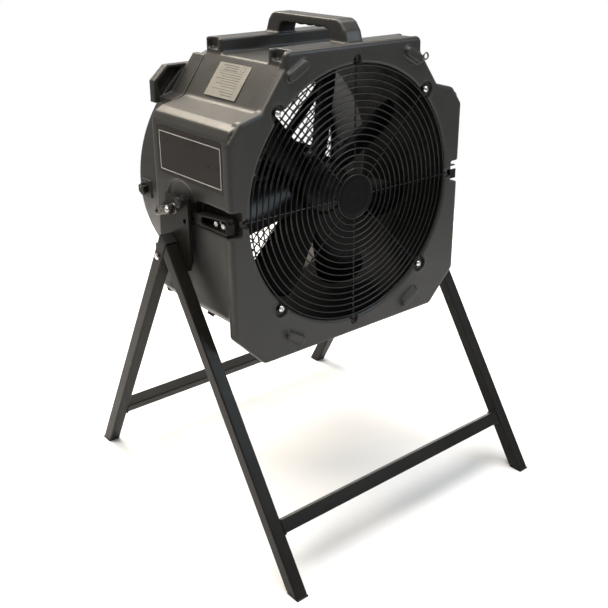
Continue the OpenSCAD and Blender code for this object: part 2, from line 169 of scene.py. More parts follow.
def lathe(profile, segments=64, axis="y", centre=(0, 0), ring=False):
    """Spins (radius, height) pairs round an axis. Radius 0 at both ends closes the shape at its poles."""
    loops = []
    for radius, h in profile:
        r = max(radius, POLE_R)
        loop = []
        for k in range(segments):
            a = TAU * k / segments
            loop.append(to_axis(axis, centre[0] + r * cos(a), centre[1] + r * sin(a), h))
        loops.append(loop)
    return loft(loops, True, ring)


def rod(axis, centre, r, lo, hi, chamfer=0.6, segments=32):
    """Round bar with chamfered ends."""
    c = min(chamfer, r * 0.5, (hi - lo) * 0.45)
    profile = [(0, lo), (r - c, lo), (r, lo + c), (r, hi - c), (r - c, hi), (0, hi)]
    return lathe(profile, segments, axis, centre)


def sweep(path, radius, sides=8, closed=False):
    """A round wire along a path of points."""
    pts = [Vector(p) for p in path]
    n = len(pts)
    loops = []
    side = None
    for i in range(n):
        if closed:
            tangent = (pts[(i + 1) % n] - pts[i - 1]).normalized()
        else:
            tangent = (pts[min(i + 1, n - 1)] - pts[max(i - 1, 0)]).normalized()
        if side is None:
            side = tangent.orthogonal().normalized()
        side = (side - tangent * side.dot(tangent)).normalized()
        other = tangent.cross(side)
        loops.append([pts[i] + radius * (cos(TAU * k / sides) * side + sin(TAU * k / sides) * other)
                      for k in range(sides)])
    return loft(loops, True, closed)


def ring_wire(radius, y, wire_r, segments=120, sides=8, offset=0.0):
    """A round wire ring about the Y axis."""
    loops = []
    for i in range(segments):
        a = TAU * (i + offset) / segments
        loop = []
        for k in range(sides):
            b = TAU * k / sides
            reach = radius + wire_r * cos(b)
            loop.append((reach * cos(a), y + wire_r * sin(b), reach * sin(a)))
        loops.append(loop)
    return loft(loops, False, True)


def moved(part, matrix):
    """A part, which is its points and faces, carried by a matrix."""
    verts, faces = part
    return [matrix @ Vector(v) for v in verts], faces


def placed(parts, matrix):
    """Several parts, all carried by one matrix."""
    return [moved(part, matrix) for part in parts]


def about(axis, degrees, point=(0, 0, 0)):
    """A turn about an axis through a point."""
    turn = Matrix.Rotation(radians(degrees), 4, axis)
    return Matrix.Translation(point) @ turn @ Matrix.Translation(-Vector(point))


def at_angle(degrees, radius=0):
    """A step along +X by a radius, then a turn that carries +X to an angle in the XZ plane, towards +Z."""
    return about("Y", -degrees) @ Matrix.Translation((radius, 0, 0))


def in_scene(name, data):
    """A new object in the scene, which holds a mesh, a light or a camera."""
    obj = bpy.data.objects.new(name, data)
    bpy.context.scene.collection.objects.link(obj)
    return obj


def mesh_object(name, parts, matrix=HOUSING):
    """One mesh object from several parts, in the frame."""
    verts, faces = [], []
    for part_verts, part_faces in parts:
        base = len(verts)
        verts += [matrix @ Vector(v) for v in part_verts]
        faces += [[base + i for i in f] for f in part_faces]
    mesh = bpy.data.meshes.new(name)
    mesh.from_pydata(verts, [], faces)
    work = bmesh.new()
    work.from_mesh(mesh)
    bmesh.ops.recalc_face_normals(work, faces=work.faces)
    work.to_mesh(mesh)
    work.free()
    return in_scene(name, mesh)


def object_from(name, work):
    """A new object in the scene from a bmesh, which is freed."""
    mesh = bpy.data.meshes.new(name)
    work.to_mesh(mesh)
    work.free()
    return in_scene(name, mesh)


def copy_of(name, node, weld=True):
    """A new object with a CAD node's shape, welded and with its flats made single faces if weld is set."""
    work = bmesh.new()
    work.from_mesh(frame["nodes"][node].data)
    if weld:
        bmesh.ops.remove_doubles(work, verts=work.verts, dist=WELD_DISTANCE)
        bmesh.ops.dissolve_limit(work, angle_limit=FLAT_ANGLE, verts=work.verts, edges=work.edges)
        bmesh.ops.recalc_face_normals(work, faces=work.faces)
    return object_from(name, work)


def islands(work):
    """The points of each separate solid in a bmesh."""
    left = set(work.verts)
    found = []
    while left:
        stack, island = [left.pop()], []
        while stack:
            v = stack.pop()
            island.append(v.co.copy())
            for e in v.link_edges:
                w = e.other_vert(v)
                if w in left:
                    left.remove(w)
                    stack.append(w)
        found.append(island)
    return found


def hull_of(name, node):
    """A closed object from the outer hulls of the separate solids in a CAD node."""
    work = bmesh.new()
    work.from_mesh(frame["nodes"][node].data)
    bmesh.ops.remove_doubles(work, verts=work.verts, dist=WELD_DISTANCE)
    out = bmesh.new()
    for island in islands(work):
        new = [out.verts.new(co) for co in island]
        hull = bmesh.ops.convex_hull(out, input=new)
        spare = hull["geom_interior"] + hull["geom_unused"]
        inner = {g for g in spare if isinstance(g, bmesh.types.BMVert)}
        bmesh.ops.delete(out, geom=list(inner), context="VERTS")
    work.free()
    bmesh.ops.dissolve_limit(out, angle_limit=FLAT_ANGLE, verts=out.verts, edges=out.edges)
    bmesh.ops.recalc_face_normals(out, faces=out.faces)
    return object_from(name, out)


def applied(obj):
    """Turns an object's modifiers into its mesh."""
    graph = bpy.context.evaluated_depsgraph_get()
    graph.update()
    mesh = bpy.data.meshes.new_from_object(obj.evaluated_get(graph))
    obj.modifiers.clear()
    obj.data = mesh
    return obj


def bevelled(obj, width, segments=3, angle=28):
    """Rounds the edges that are sharper than an angle."""
    mod = obj.modifiers.new("Bevel", "BEVEL")
    mod.width = width * MM
    mod.segments = segments
    mod.limit_method = "ANGLE"
    mod.angle_limit = radians(angle)
    mod.use_clamp_overlap = True
    return applied(obj)


def combined(obj, others, operation):
    """Boolean of obj with other objects, which are used up."""
    for other in others:
        mod = obj.modifiers.new("Bool", "BOOLEAN")
        mod.operation = operation
        mod.solver = "MANIFOLD"
        mod.object = other
        applied(obj)
        bpy.data.objects.remove(other)
    return obj


def joined(obj, others):
    """Adds the meshes of other objects, which are used up, to an object's own mesh."""
    work = bmesh.new()
    for source in [obj] + others:
        work.from_mesh(source.data)
    for other in others:
        bpy.data.objects.remove(other)
    work.to_mesh(obj.data)
    work.free()
    return obj


def moulded(obj, voxel, rounds):
    """Remeshes a closed shape and softens every edge, as in moulded plastic."""
    mod = obj.modifiers.new("Remesh", "REMESH")
    mod.mode = "VOXEL"
    mod.voxel_size = voxel * MM
    mod.adaptivity = 0
    mod = obj.modifiers.new("Soften", "SMOOTH")
    mod.factor = SOFTEN_FACTOR
    mod.iterations = rounds
    return applied(obj)


def shaded(obj, angle=35):
    """Smooth shading that stops at edges sharper than angle and leaves large flat faces flat."""
    work = bmesh.new()
    work.from_mesh(obj.data)
    limit = radians(angle)
    for e in work.edges:
        e.smooth = len(e.link_faces) == 2 and e.calc_face_angle(0) < limit
    for f in work.faces:
        f.smooth = True
    work.to_mesh(obj.data)
    work.free()
    if len(obj.data.polygons) < FINE_MESH:
        mod = obj.modifiers.new("Flats", "WEIGHTED_NORMAL")
        mod.keep_sharp = True
        applied(obj)
    return obj


def piece(obj, look, body, nodes=(), angle=35):
    """Finishes a piece: shading, material, the body it rides on and the CAD nodes it stands for."""
    shaded(obj, angle)
    obj.data.materials.clear()
    obj.data.materials.append(look)
    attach(obj, body)
    if nodes:
        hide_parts(*nodes)
    return obj


# ---- materials

def node_with(nodes, kind, values):
    """A shader node with some of its inputs set."""
    node = nodes.new("ShaderNode" + kind)
    for socket, value in values.items():
        node.inputs[socket].default_value = value
    return node


def ramp_between(nodes, low, high, first, last):
    """A colour ramp that goes from its first colour at low to its last at high."""
    ramp = nodes.new("ShaderNodeValToRGB")
    ramp.color_ramp.elements[0].position = low
    ramp.color_ramp.elements[0].color = (*first, 1)
    ramp.color_ramp.elements[1].position = high
    ramp.color_ramp.elements[1].color = (*last, 1)
    return ramp


def surface(name, dark, light, rough, patch, bumps, metal=0.0, scuff=None, stretch=(1, 1, 1), specular=0.5):
    """A procedural finish: two colours in soft patches, a roughness that varies, and layers of fine relief.

    rough is (lowest, highest), bumps are (scale per metre, height in mm), scuff is (colour, amount, scale).
    """
    mat = bpy.data.materials.new(name)
    mat.use_nodes = True
    nodes, links = mat.node_tree.nodes, mat.node_tree.links
    shader = nodes["Principled BSDF"]
    shader.inputs["Metallic"].default_value = metal
    shader.inputs["Specular IOR Level"].default_value = specular
    where = nodes.new("ShaderNodeTexCoord")
    spread = node_with(nodes, "Mapping", {"Scale": stretch})
    links.new(where.outputs["Object"], spread.inputs["Vector"])

    def noise(scale, detail, roughness=0.55):
        """The output of a noise pattern in the object's own space."""
        node = node_with(nodes, "TexNoise", {"Scale": scale, "Detail": detail, "Roughness": roughness})
        links.new(spread.outputs["Vector"], node.inputs["Vector"])
        return node.outputs["Fac"]

    ramp = ramp_between(nodes, 0.32, 0.68, dark, light)
    links.new(noise(patch, 6.0), ramp.inputs["Fac"])
    colour = ramp.outputs["Color"]
    if scuff:
        tone, amount, scale = scuff
        cut = node_with(nodes, "MapRange", {"From Min": 0.60, "From Max": 0.74, "To Max": amount})
        links.new(noise(scale, 9.0, 0.7), cut.inputs["Value"])
        blend = nodes.new("ShaderNodeMix")
        blend.data_type = "RGBA"
        blend.inputs[7].default_value = (*tone, 1)
        links.new(cut.outputs["Result"], blend.inputs[0])
        links.new(colour, blend.inputs[6])
        colour = blend.outputs[2]
    links.new(colour, shader.inputs["Base Color"])
    span = {"From Min": 0.3, "From Max": 0.7, "To Min": rough[0], "To Max": rough[1]}
    gloss = node_with(nodes, "MapRange", span)
    links.new(noise(patch * 4, 5.0), gloss.inputs["Value"])
    links.new(gloss.outputs["Result"], shader.inputs["Roughness"])
    normal = None
    for scale, height in bumps:
        bump = node_with(nodes, "Bump", {"Strength": 1.0, "Distance": height * MM})
        links.new(noise(scale, 2.0), bump.inputs["Height"])
        if normal:
            links.new(normal, bump.inputs["Normal"])
        normal = bump.outputs["Normal"]
    links.new(normal, shader.inputs["Normal"])
    return mat


PE = surface("charcoal_polyethylene", (0.0175, 0.0170, 0.0152), (0.0235, 0.0228, 0.0203), (0.36, 0.47), 5.0,
             bumps=((1100, 0.04), (260, 0.06)), scuff=((0.10, 0.097, 0.09), 0.14, 26), specular=0.36)
# The next finish is the same polyethylene made darker and less reflective: painted shade for the inside of
# the duct; its scuffs are wear.
DUCT_PAINTED_SHADE = surface("charcoal_polyethylene_painted_duct_shade", (0.006, 0.006, 0.0055), (0.010, 0.010, 0.009), (0.45, 0.6), 5.0,
                bumps=((1100, 0.04), (260, 0.06)), scuff=((0.04, 0.037, 0.033), 0.2, 26), specular=0.06)
GUARD = surface("black_guard_wire", (0.003, 0.003, 0.003), (0.006, 0.006, 0.006), (0.18, 0.28), 14.0,
                bumps=((900, 0.02),), specular=0.30)
BADGE = surface("black_badge_enamel", (0.003, 0.003, 0.003), (0.005, 0.005, 0.005), (0.35, 0.45), 14.0,
                bumps=((900, 0.02),), specular=0.06)
POWDER = surface("black_powder_coat", (0.008, 0.0073, 0.0063), (0.0125, 0.0113, 0.0098), (0.30, 0.40), 9.0,
                 bumps=((1500, 0.05),), scuff=((0.05, 0.046, 0.042), 0.25, 45), specular=0.12)
BLADE = surface("gloss_black_blade", (0.003, 0.003, 0.0028), (0.006, 0.0057, 0.005), (0.16, 0.28), 10.0,
                bumps=((140, 0.05),), scuff=((0.015, 0.013, 0.010), 0.20, 30), specular=0.10)
ZINC = surface("zinc_plate", (0.52, 0.51, 0.49), (0.72, 0.71, 0.69), (0.18, 0.34), 60.0, metal=1.0,
               bumps=((1800, 0.015),), stretch=(1, 3, 1), scuff=((0.30, 0.28, 0.24), 0.5, 90))
CAST = surface("plated_casting", (0.10, 0.096, 0.088), (0.22, 0.21, 0.19), (0.22, 0.36), 50.0, metal=1.0,
               bumps=((900, 0.06),), scuff=((0.14, 0.13, 0.11), 0.6, 50))
DULL = surface("dull_steel", (0.10, 0.095, 0.085), (0.20, 0.19, 0.17), (0.34, 0.5), 70.0, metal=1.0,
               bumps=((1500, 0.03),), scuff=((0.40, 0.38, 0.34), 0.6, 60))
MOTOR = surface("motor_enamel", (0.006, 0.006, 0.0065), (0.010, 0.010, 0.011), (0.30, 0.42), 12.0,
                bumps=((700, 0.05),), scuff=((0.03, 0.028, 0.026), 0.3, 40), specular=0.05)
BLACK = surface("black_moulding", (0.006, 0.006, 0.006), (0.011, 0.0105, 0.010), (0.36, 0.5), 20.0,
                bumps=((1600, 0.04),), specular=0.25)
RUBBER = surface("black_rubber", (0.007, 0.007, 0.007), (0.014, 0.0135, 0.013), (0.62, 0.8), 24.0,
                 bumps=((1300, 0.08),), specular=0.2)
LABEL = surface("label_stock", (0.150, 0.142, 0.120), (0.185, 0.176, 0.150), (0.34, 0.46), 16.0,
                bumps=((900, 0.01),))
INK = surface("label_ink", (0.035, 0.033, 0.03), (0.06, 0.056, 0.05), (0.4, 0.5), 60.0, bumps=((900, 0.01),))
VINYL = surface("dark_vinyl", (0.017, 0.0130, 0.0108), (0.022, 0.0172, 0.0145), (0.26, 0.34), 8.0,
                bumps=((600, 0.012),), specular=0.2)
PRINT = surface("pale_vinyl_print", (0.34, 0.335, 0.32), (0.42, 0.41, 0.39), (0.32, 0.42), 20.0,
                bumps=((600, 0.012),))


# ---- moulded housing

PANEL = [(163, 281.5), (163, 253.5), (212.5, 187), (259, 175), (285.5, 141), (285.5, -214), (219.5, -282)]
PANEL_R = [12, 5, 12, 14, 12, 12, 12]
SHELL = [(156, 257), (211, 182), (261, 170), (276, 162), (283, 148), (283, -179), (265, -200), (213, -213),
         (165, -261)]
SHELL_R = [8, 16, 12, 10, 8, 14, 12, 22, 12]
GRIP = [(4, 270), (14, 302), (26, 317), (36, 321.6), (214, 321.6), (226, 318), (236, 306), (250, 270),
        (208, 270), (198, 298), (190, 303), (66, 303), (58, 298), (46, 270)]
GRIP_R = [2, 8, 7, 7, 7, 7, 8, 2, 2, 7, 4, 4, 7, 2]
GRIP_HALF_W = 20.5
LUGS = ((60.8, 285), (119.2, 285), (238.4, 289), (301.6, 289))
POCKETS = 8
POCKET_TURN = 360 / POCKETS
LIP_R = 7
FLARE = 5
FLARE_DEPTH = 14


def both_halves(points, radii):
    """A whole outline and its corner radii from its right-hand half."""
    return points + [(-x, z) for x, z in points[::-1]], radii + radii[::-1]


def stacking_lug(angle, radius):
    """Raised oblong on the panel's face, lying along the circle."""
    lug = soft_prism([(-9, -25), (9, -25), (9, 25), (-9, 25)], 8.9, -9, 6, 3.0, 0.5, "y", 6, 4)
    return moved(lug, at_angle(angle, radius))


def screw_lip(index):
    """Raised rim round a pocket that holds a guard screw."""
    rim = moved(ring_wire(16.6, 0.7, 2.4, 48), Matrix.Translation((SCREW_CIRCLE, 0, 0)))
    return moved(rim, at_angle(POCKET_TURN * index))


def housing_masses():
    """What joins the front panel: the shell, the two ridges, the grip, the lugs and the screw lips."""
    shell, shell_r = both_halves(SHELL, SHELL_R)
    masses = [soft_prism(shell, shell_r, 8, SHELL_BACK, 0.5, 5, "y", 7, 5)]
    masses.append(soft_box((-157, 6, 240), (157, 57, 281.5), 3))
    masses.append(soft_box((-156, 200, 240), (156, SHELL_BACK, 283), 3))
    masses.append(soft_prism(GRIP, GRIP_R, -GRIP_HALF_W, GRIP_HALF_W, 4, 4, "x", 5, 5))
    masses += [stacking_lug(angle, radius) for angle, radius in LUGS]
    return masses + [screw_lip(i) for i in range(1, POCKETS, 2)]


def outlet_bore():
    """The duct through the housing: a rounded lip at the panel, a straight bore and a flare at the back."""
    flare_start = SHELL_BACK - FLARE_DEPTH
    profile = [(0, -2), (OUTLET_R + LIP_R, -2), (OUTLET_R + LIP_R, 0)]
    for t in np.linspace(0, pi / 2, 6):
        profile.append((OUTLET_R + LIP_R - LIP_R * sin(t), LIP_R - LIP_R * cos(t)))
    profile.append((OUTLET_R, flare_start))
    for t in np.linspace(0.2, pi / 2, 6):
        profile.append((OUTLET_R + FLARE * (1 - cos(t)), flare_start + FLARE_DEPTH * sin(t)))
    profile += [(OUTLET_R + FLARE, SHELL_BACK + 3), (0, SHELL_BACK + 3)]
    return lathe(profile, 160)


def guard_pocket(index):
    """Rounded pocket at the outlet's edge, wide where a screw sits and narrow where a wire bends in."""
    r = 15.5 if index % 2 else 8.5
    inner, outer = OUTLET_R - 12, SCREW_CIRCLE + r
    corners = [(inner, -r), (outer, -r), (outer, r), (inner, r)]
    pocket = soft_prism(corners, [1, r - 0.1, r - 0.1, 1], -3, 8.5, 0.5, 2.0, "y", 6, 4)
    return moved(pocket, at_angle(POCKET_TURN * index))


def side_cuts():
    """Cuts in the right-hand side: the arm's slot, the arch round the stud, and a notch in each ridge."""
    outline = [(-3, -22), (123, -22), (123, 24), (-3, 24)]
    slot = soft_prism(outline, [1, 22.8, 22.8, 1], 262, 292, 3, 1, "x", 8, 4)
    outline = [(113, -22), (211, -22), (211, 0), (211, 49), (113, 49), (113, 0)]
    arch = soft_prism(outline, [6, 6, 2, 48.5, 48.5, 2], 279, 292, 3, 1, "x", 8, 4)
    notches = [soft_box((143, y0, 263), (175, y1, 300), 2) for y0, y1 in ((11, 47), (211, 243))]
    return [slot, arch] + notches


def bolt_boss(y):
    """Round boss behind one of the arm's bolts, on the right-hand side."""
    return rod("x", (y, BOLT_Z), 9, 258, HALF_W - 12.3, 0.8, 28)


def paint_shade_in_duct(skin):
    """Gives the skin's faces inside the duct the darker, less reflective material: painted shade on the same
    plastic.
    """
    skin.data.materials.append(DUCT_PAINTED_SHADE)
    for face in skin.data.polygons:
        x, y, z = face.center
        inside = hypot(x, z - AXIS_Z) < (OUTLET_R + 1.5) * MM and y > FRONT_Y + LIP_R * MM
        face.material_index = 1 if inside else 0


def build_housing():
    """The moulded skin: everything in one piece with the front panel."""
    points, radii = both_halves(PANEL, PANEL_R)
    skin = mesh_object("housing_skin", [soft_prism(points, radii, 0, 20, 7, 2, "y", 7, 6)])
    skin = combined(skin, [mesh_object("add", [mass]) for mass in housing_masses()], "UNION")
    cuts = [outlet_bore()] + [guard_pocket(i) for i in range(POCKETS)]
    cuts += [moved(cut, side) for side in BOTH_SIDES for cut in side_cuts()]
    cuts += [rod("x", (78 + 25 * i, 291.5), 14, -30, 30, 0.6, 40) for i in range(5)]
    skin = combined(skin, [mesh_object("cut", [cut]) for cut in cuts], "DIFFERENCE")
    bosses = [moved(bolt_boss(y), side) for side in BOTH_SIDES for y in BOLT_ROW]
    skin = combined(skin, [mesh_object("boss", [boss]) for boss in bosses], "UNION")
    skin = moulded(skin, 2.0, 3)
    piece(skin, PE, "housing",
          ("front_panel", "main_shell", "top_ridges", "carry_handle", "fan_shroud"), 60)
    # The faces inside the duct get painted shade.
    paint_shade_in_duct(skin)


def moulded_piece(name, node, look, body, voxel, rounds):
    """A CAD node's own shape with every edge softened."""
    obj = moulded(copy_of(name, node, False), voxel, rounds)
    piece(obj, look, body, (node,), 60)


def build_drum():
    """The round rear shell and the moulded details round it."""
    edge_r = 4.5
    profile = [(251, SHELL_BACK - 1), (DRUM_R, SHELL_BACK - 1), (DRUM_R, 286), (DRUM_R, 340)]
    for t in np.linspace(0, pi / 2, 6):
        profile.append((DRUM_R - edge_r + edge_r * cos(t), DEPTH - edge_r + edge_r * sin(t)))
    profile += [(DRUM_R - 5.2, DEPTH - 0.6), (DRUM_R - 5.6, DEPTH - 2), (251, DEPTH - 6), (250.5, 300)]
    drum = mesh_object("drum_skin", [lathe(profile, 160, ring=True)])
    piece(drum, PE, "housing", ("rear_drum",), 40)
    for name, node, voxel, rounds in (("corner_loop_skin_left", "corner_loop_left", 1.4, 4),
                                      ("corner_loop_skin_right", "corner_loop_right", 1.4, 4),
                                      ("foot_lug_skin", "rear_foot_lugs", 1.8, 3),
                                      ("side_pad_skin", "side_pads", 1.2, 5)):
        moulded_piece(name, node, PE, "housing", voxel, rounds)
    moulded_piece("housing_feet_rubber", "housing_feet", RUBBER, "housing", 1.2, 3)


# ---- guards

RING_COUNT = 17
BADGE_R = 41.0
GUARD_WIRE_R = 1.5
MESH_PITCH = 15.5


def screw_spoke():
    """A guard wire from the centre to an eye round a screw."""
    wire = sweep([(34, 4.6, 0), (120, 4.9, 0), (236, 5.0, 0), (248.5, 5.2, 0)], GUARD_WIRE_R)
    eye = moved(ring_wire(5.3, 0, GUARD_WIRE_R, 28), Matrix.Translation((SCREW_CIRCLE, 5.0, 0)))
    return [wire, eye]


def bent_spoke():
    """A guard wire from the centre whose end bends into its pocket."""
    bend = [(34, 4.9, 0), (120, 4.9, 0), (240, 4.9, 0), (249, 5.0, 0), (252.5, 5.6, 0), (254.5, 7.5, 0)]
    return [sweep(bend + [(255, 12, 0)], GUARD_WIRE_R)]


def build_guards():
    """The front guard of rings and spokes, its centre disc, the rear mesh and the screws."""
    parts = []
    first = BADGE_R + GUARD_WIRE_R
    step = (OUTLET_R - BADGE_R - 4) / (RING_COUNT - 1)
    for i in range(RING_COUNT):
        parts.append(ring_wire(first + i * step, 2.5, GUARD_WIRE_R, 144, 8, 0.5 * (i % 2)))
    for i in range(POCKETS):
        spoke = screw_spoke() if i % 2 else bent_spoke()
        parts += placed(spoke, at_angle(POCKET_TURN * i))
    guard = mesh_object("front_guard_wire", parts)
    piece(guard, GUARD, "housing", ("front_grille",), 50)
    disc = [(0, 1.4), (12, 1.4), (13, 1.1), (15, 1.1), (16, 1.4), (31, 1.4), (32.2, 1.0), (34.5, 1.0),
            (35.7, 1.5), (39.0, 1.5), (40.2, 1.9), (40.7, 2.6), (40.2, 3.4), (38, 3.5), (0, 3.5)]
    badge = mesh_object("guard_badge_disc", [lathe(disc, 96)])
    piece(badge, BADGE, "housing", ("grille_badge",), 30)
    build_rear_mesh()
    build_guard_screws()


def woven_wire(index, reach, phase):
    """One wire of the rear mesh, waving over and under the wires it crosses."""
    pitch, wire_r, wave = MESH_PITCH, 1.7, 1.5
    across = index * pitch
    half = sqrt(max(reach * reach - across * across, 0))
    steps = max(2, int(2 * half / pitch * 2))
    path = []
    for k in range(steps + 1):
        along = -half + 2 * half * k / steps
        sign = cos(pi * (along / pitch + index + phase))
        path.append((along, DEPTH - 7 + wave * sign, across))
    return sweep(path, wire_r, 5)


def build_rear_mesh():
    """Woven wire at 45 degrees inside a rolled rim."""
    reach = DRUM_R - 10
    count = int(reach / MESH_PITCH)
    parts = []
    for turn, phase in ((45, 0), (-45, 1)):
        for i in range(-count, count + 1):
            parts.append(moved(woven_wire(i, reach, phase), at_angle(turn)))
    net = mesh_object("rear_wire_mesh", parts)
    piece(net, GUARD, "housing", ("rear_mesh",), 70)
    rim = [(242.2, DEPTH - 5.6), (243.4, DEPTH - 3.4), (247, DEPTH - 2.9), (250.6, DEPTH - 3.4),
           (251.8, DEPTH - 5.8), (250.6, DEPTH - 9.5), (243.4, DEPTH - 9.5)]
    rim_ring = mesh_object("rear_mesh_rim", [lathe(rim, 160, ring=True)])
    piece(rim_ring, GUARD, "housing", ("rear_mesh_ring",), 40)


def pan_head(r, height, y_face):
    """Domed screw head whose flat underside is at y_face and whose top points to -Y."""
    profile = [(0, y_face - height)]
    for k in range(1, 7):
        t = pi / 2 * k / 6
        profile.append((r * sin(t) * 0.97 + 0.03 * r, y_face - height * (0.28 + 0.72 * cos(t))))
    profile += [(r, y_face - 0.3), (r - 0.3, y_face), (0, y_face)]
    return lathe(profile, 32)


def build_guard_screws():
    """Four pan heads with a cross recess, each turned differently, on plain shanks."""
    heads, shanks = [], []
    for i in range(4):
        place = at_angle(45 + 90 * i, SCREW_CIRCLE)
        turn = about("Y", 20 + 33 * i)
        head = mesh_object("head", [moved(pan_head(6.3, 3.6, 2.6), place)])
        cross = [mesh_object("cut", [moved(soft_box((-w, -3, -h), (w, 0.6, h), 0.15), place @ turn)])
                 for w, h in ((2.9, 0.62), (0.62, 2.9))]
        heads.append(combined(head, cross, "DIFFERENCE"))
        shanks.append(moved(rod("y", (0, 0), 2.8, 2.6, 13, 0.5, 20), place))
    screws = joined(mesh_object("guard_screws", shanks), heads)
    piece(screws, ZINC, "housing", ("grille_screws",), 30)


# ---- fan

BLADES = 7
FAN_Y = 118.0
BLADE_ROOT_R = 54
BLADE_TIP_R = 236.4


def blade_mesh(number):
    """A twisted, cambered and slightly swept blade from the hub out to its rounded tip."""
    rows, cols = 18, 14
    loops = []
    for i in range(rows + 1):
        u = i / rows
        r = BLADE_ROOT_R + (BLADE_TIP_R - BLADE_ROOT_R) * u
        near_tip = max(0, u - 0.86) / 0.14
        chord = 70 + 30 * min(1, u * 1.25) - 24 * near_tip * near_tip
        pitch = radians(24 + 7 * u)
        sweep_back = 3 - 5 * u
        upper, lower = [], []
        for k in range(cols + 1):
            v = -1 + 2 * k / cols
            s = chord / 2 * v + sweep_back
            rise = 0.075 * chord * (1 - v * v)
            thick = 0.6 + 1.5 * sqrt(max(0, 1 - v ** 4))
            corner = 5.0 * max(0, u - 0.9) / 0.1 * v * v
            for side, h in ((upper, rise + thick), (lower, rise - thick)):
                tangential = s * cos(pitch) - h * sin(pitch)
                axial = -s * sin(pitch) - h * cos(pitch)
                a = tangential / max(r, 70)
                side.append(((r - corner) * cos(a), FAN_Y - 2 + axial, (r - corner) * sin(a)))
        loops.append(upper + lower[::-1])
    return moved(loft(loops), at_angle(-71.5 + 360 * number / BLADES))


def build_fan():
    """Seven blades, the hub with its ribs and screws, and the shaft with a collar."""
    for number in range(1, BLADES + 1):
        blade = mesh_object("fan_blade_%d" % number, [blade_mesh(number)])
        piece(blade, BLADE, "fan", ("blade_%d" % number,), 40)
    hub = [(0, 77), (10, 77), (13, 76.4), (30, 76.4), (44, 78), (52, 82), (56.5, 88), (58, 96), (58, 152),
           (57, 154), (52, 154), (52, 96), (0, 94)]
    parts = [lathe(hub, 80)]
    for i in range(6):
        parts.append(moved(pan_head(4.2, 3.0, 76.8), at_angle(60 * i, 33)))
    for i in range(BLADES):
        rib = soft_box((14, 96, -1.5), (53, 142, 1.5), 0.6)
        parts.append(moved(rib, at_angle(25 + 360 * i / BLADES)))
    piece(mesh_object("fan_hub", parts), BLADE, "fan", ("impeller_hub",), 35)
    bar = lathe([(0, 88), (7.2, 88), (7.9, 88.8), (7.9, 120), (7.9, 265), (7.2, 266), (0, 266)], 40)
    collar = lathe([(8, 96), (15, 96), (16, 97), (16, 128), (15, 129), (8, 129)], 40, ring=True)
    piece(mesh_object("fan_shaft", [bar, collar]), ZINC, "fan", ("motor_shaft",), 30)


# ---- motor and electrics

MOTOR_FINS = 40


def build_motor_body():
    """A finned drum with a band at each end; a fin is left out under each of the four straps."""
    parts = [lathe([(0, 177), (63, 177), (65, 179), (65, 265), (63, 267.5), (0, 267.5)], 80)]
    fin = soft_box((62, 182, -1.1), (69.8, 262, 1.1), 0.7)
    for i in range(MOTOR_FINS):
        if i % (MOTOR_FINS // 4):
            parts.append(moved(fin, at_angle(360 / MOTOR_FINS * i)))
    for y in (178.5, 266):
        band = [(60, y - 2.2), (68.5, y - 2.2), (69.8, y - 1), (69.8, y + 1), (68.5, y + 1.6), (60, y + 1.6)]
        parts.append(lathe(band, 80, ring=True))
    piece(mesh_object("motor_finned_body", parts), MOTOR, "housing", ("motor_body",), 35)


def build_end_shields():
    """The motor's two end shields, with vents and bolt heads."""
    front = [(8.6, 164.4), (22, 164.4), (23.6, 166), (24, 170), (58, 170.4), (64, 172), (66, 175.8),
             (8.6, 175.8)]
    back = [(0, 268.2), (66, 268.2), (65.5, 276), (62, 280), (56, 281.6), (0, 281.8)]
    parts = [lathe(front, 80, ring=True), lathe(back, 80)]
    for i in range(12):
        vent = soft_box((36, 169.2, -3), (55, 171, 3), 0.4, "y", 2.8)
        parts.append(moved(vent, at_angle(30 * i)))
    for i in range(4):
        parts.append(moved(rod("y", (60, 0), 3.4, 167.4, 172, 0.6, 6), at_angle(45 + 90 * i)))
    piece(mesh_object("motor_end_shields", parts), MOTOR, "housing", ("motor_end_bells",), 35)


def build_motor():
    """The motor, its straps and bolts, and the capacitor beside it."""
    build_motor_body()
    build_end_shields()
    straps = bevelled(copy_of("motor_strap_frame", "motor_mount"), 0.9, 2)
    piece(straps, MOTOR, "housing", ("motor_mount",), 40)
    head = lathe([(0, 290), (4.2, 290), (5.6, 289.2), (5.6, 286.9), (0, 286.9)], 6)
    washer = lathe([(3, 286.1), (6, 286.1), (6, 287), (3, 287)], 32, ring=True)
    shank = rod("y", (0, 0), 2.9, 282, 287, 0.3, 16)
    bolts = []
    for i in range(4):
        bolts += placed((head, washer, shank), at_angle(90 * i, 36))
    piece(mesh_object("motor_mount_bolts", bolts), ZINC, "housing", ("motor_bolts",), 30)
    can = [(0, 187), (15, 187), (16.8, 188.4), (16.8, 254), (17, 255), (17, 258), (16, 259), (14.5, 258.4),
           (13.5, 257), (0, 257)]
    parts = [lathe(can, 48)]
    parts += [soft_box((x - 0.4, 256.5, -3), (x + 0.4, 261.5, 3), 0.1) for x in (-5, 5)]
    capacitor = mesh_object("run_capacitor", placed(parts, at_angle(-20, -87)))
    piece(capacitor, BLACK, "housing", ("capacitor",), 35)


SWITCH_Y = 333.0
SWITCH_Z = -8.0
SWITCH = (SWITCH_Y, SWITCH_Z)
PAD_X = DRUM_R + 2
CORD_BORE_R = 4.6


